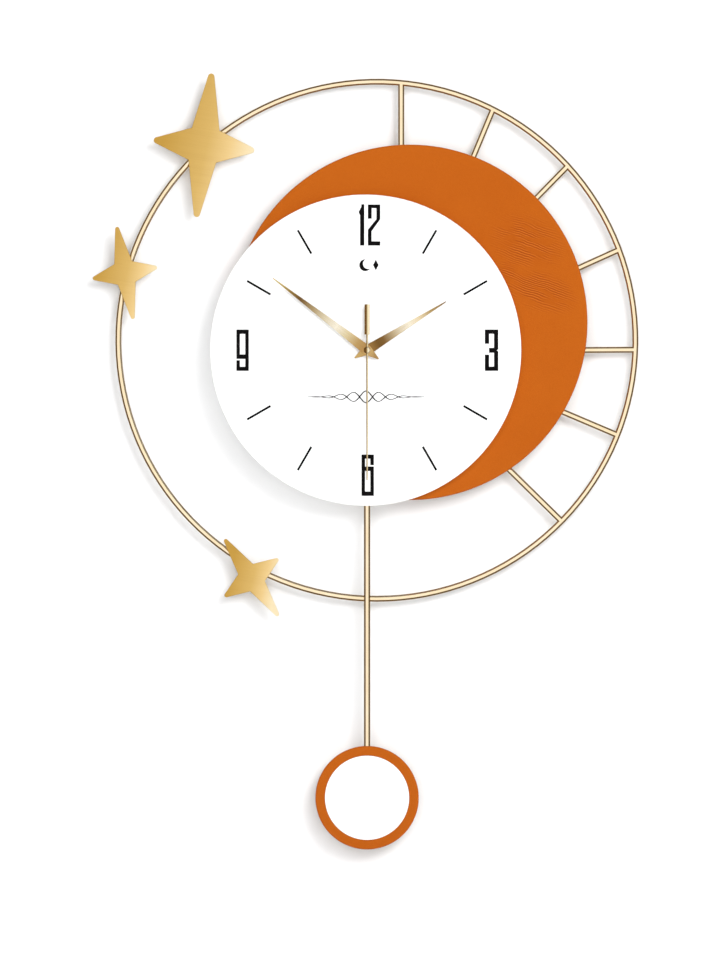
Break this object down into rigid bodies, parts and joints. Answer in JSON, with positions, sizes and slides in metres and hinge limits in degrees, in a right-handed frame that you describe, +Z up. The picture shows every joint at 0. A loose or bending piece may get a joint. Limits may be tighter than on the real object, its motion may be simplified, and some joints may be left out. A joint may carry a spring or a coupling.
{
  "type": "pendulum wall clock",
  "caption": "Pendulum wall clock: round white dial on a leather crescent moon, held by spokes in a thin wire hoop with stars, with a disc bob swinging below.",
  "frame": {"origin": "middle of the hanger's head hole, in the wall plane", "axes": "+Z up, +Y into the wall, +X to the right as the dial is read; the dial faces -Y"},
  "size_m": [0.525, 0.0392, 0.746],
  "materials": {
    "gold_wire": "pale gold plated steel wire, polished",
    "gold_plate": "satin gold plated steel sheet",
    "gold_rod": "pale gold anodised tube, drawn",
    "gold_hands": "polished gold anodised sheet",
    "fibreboard": "medium density fibreboard, sanded",
    "orange_leather": "orange faux leather with fine creases",
    "white_paint": "white sprayed fibreboard",
    "white_face": "white matt sheet",
    "black_print": "black film",
    "zinc_screws": "zinc plated",
    "zinc_bracket": "zinc plated pressed steel",
    "black_rubber": "moulded rubber",
    "black_case": "black moulded plastic, fine texture",
    "knob_plastic": "black moulded plastic",
    "natural_plastic": "natural white moulded plastic",
    "train_steel": "turned steel",
    "brass": "turned brass",
    "board_green": "green circuit board",
    "soft_iron": "stamped iron",
    "copper_wire": "enamelled copper winding",
    "contact_steel": "nickel plated spring strip",
    "magnet": "sintered magnet",
    "battery_jacket": "printed metal can"
  },
  "bodies": {
    "clock": {"hoop_ring": "gold_wire", "star_saddles": "gold_wire", "spoke_1": "gold_wire", "spoke_2": "gold_wire", "spoke_3": "gold_wire", "spoke_4": "gold_wire", "spoke_5": "gold_wire", "spoke_6": "gold_wire", "spoke_7": "gold_wire", "star_large": "gold_plate", "star_medium": "gold_plate", "star_small": "gold_plate", "moon_board": "fibreboard", "moon_leather": "orange_leather", "dial_board": "white_paint", "dial_face": "white_face", "dial_numerals": "black_print", "hour_lines": "black_print", "dial_emblem": "black_print", "dial_screws": "zinc_screws", "spoke_screws": "zinc_screws", "hanger_screws": "zinc_screws", "case_screws": "zinc_screws", "hanger_bracket": "zinc_bracket", "wall_bumpers": "black_rubber", "rubber_gasket": "black_rubber", "movement_case_front": "black_case", "movement_case_rear": "black_case", "coil_bobbin": "knob_plastic", "mid_plate": "natural_plastic", "shaft_bush": "brass", "hex_nut": "brass", "bush_washer": "brass", "circuit_board": "board_green", "stator": "soft_iron", "motor_coil": "copper_wire", "pendulum_coil": "copper_wire", "battery_contacts": "contact_steel", "pendulum_pivot_pin": "contact_steel"},
    "minute": {"minute_hand": "gold_hands", "cannon_pinion": "train_steel", "centre_wheel": "natural_plastic"},
    "hour": {"hour_hand": "gold_hands", "hour_wheel": "natural_plastic"},
    "second": {"second_hand": "gold_hands", "second_wheel": "train_steel"},
    "third": {"third_wheel": "natural_plastic"},
    "intermediate": {"intermediate_wheel": "natural_plastic"},
    "rotor": {"rotor_pinion": "natural_plastic", "rotor_magnet": "magnet"},
    "minute_train": {"minute_wheel": "natural_plastic"},
    "knob": {"set_knob": "knob_plastic"},
    "battery_cell": {"battery": "battery_jacket"},
    "pendulum": {"swing_arm": "natural_plastic", "drive_magnet": "magnet", "pendulum_rod": "gold_rod", "bob_board": "fibreboard", "bob_leather": "orange_leather", "bob_face": "white_face"}
  },
  "joints": [
    {"name": "minute_hand_turn", "type": "hinge", "parent": "clock", "child": "minute", "pos_m": [-0.028, 0, -0.136], "axis": [0, 1, 0], "continuous": true},
    {"name": "hour_hand_turn", "type": "hinge", "parent": "clock", "child": "hour", "pos_m": [-0.028, 0, -0.136], "axis": [0, 1, 0], "continuous": true},
    {"name": "second_hand_turn", "type": "hinge", "parent": "clock", "child": "second", "pos_m": [-0.028, 0, -0.136], "axis": [0, 1, 0], "continuous": true},
    {"name": "third_wheel_turn", "type": "hinge", "parent": "clock", "child": "third", "pos_m": [-0.03683, 0, -0.1309], "axis": [0, 1, 0], "continuous": true},
    {"name": "intermediate_wheel_turn", "type": "hinge", "parent": "clock", "child": "intermediate", "pos_m": [-0.01917, 0, -0.1309], "axis": [0, 1, 0], "continuous": true},
    {"name": "rotor_turn", "type": "hinge", "parent": "clock", "child": "rotor", "pos_m": [-0.01617, 0, -0.1257], "axis": [0, 1, 0], "continuous": true},
    {"name": "minute_wheel_turn", "type": "hinge", "parent": "clock", "child": "minute_train", "pos_m": [-0.02073, 0, -0.1402], "axis": [0, 1, 0], "continuous": true},
    {"name": "set_knob_turn", "type": "hinge", "parent": "clock", "child": "knob", "pos_m": [-0.01233, 0, -0.1402], "axis": [0, 1, 0], "continuous": true},
    {"name": "battery_slide", "type": "slide", "parent": "clock", "child": "battery_cell", "axis": [0, 1, 0], "range_m": [0, 0.02]},
    {"name": "pendulum_swing", "type": "hinge", "parent": "clock", "child": "pendulum", "pos_m": [-0.028, -0.014, -0.172], "axis": [0, 1, 0], "range_deg": [-8, 8]}
  ],
  "couplings": [
    {"joint": "hour_hand_turn", "follows": "minute_hand_turn", "ratio": 0.083333},
    {"joint": "minute_wheel_turn", "follows": "minute_hand_turn", "ratio": -0.33333},
    {"joint": "set_knob_turn", "follows": "minute_hand_turn", "ratio": 1},
    {"joint": "third_wheel_turn", "follows": "minute_hand_turn", "ratio": -8},
    {"joint": "second_hand_turn", "follows": "minute_hand_turn", "ratio": 60},
    {"joint": "intermediate_wheel_turn", "follows": "minute_hand_turn", "ratio": -450},
    {"joint": "rotor_turn", "follows": "minute_hand_turn", "ratio": 1800}
  ]
}
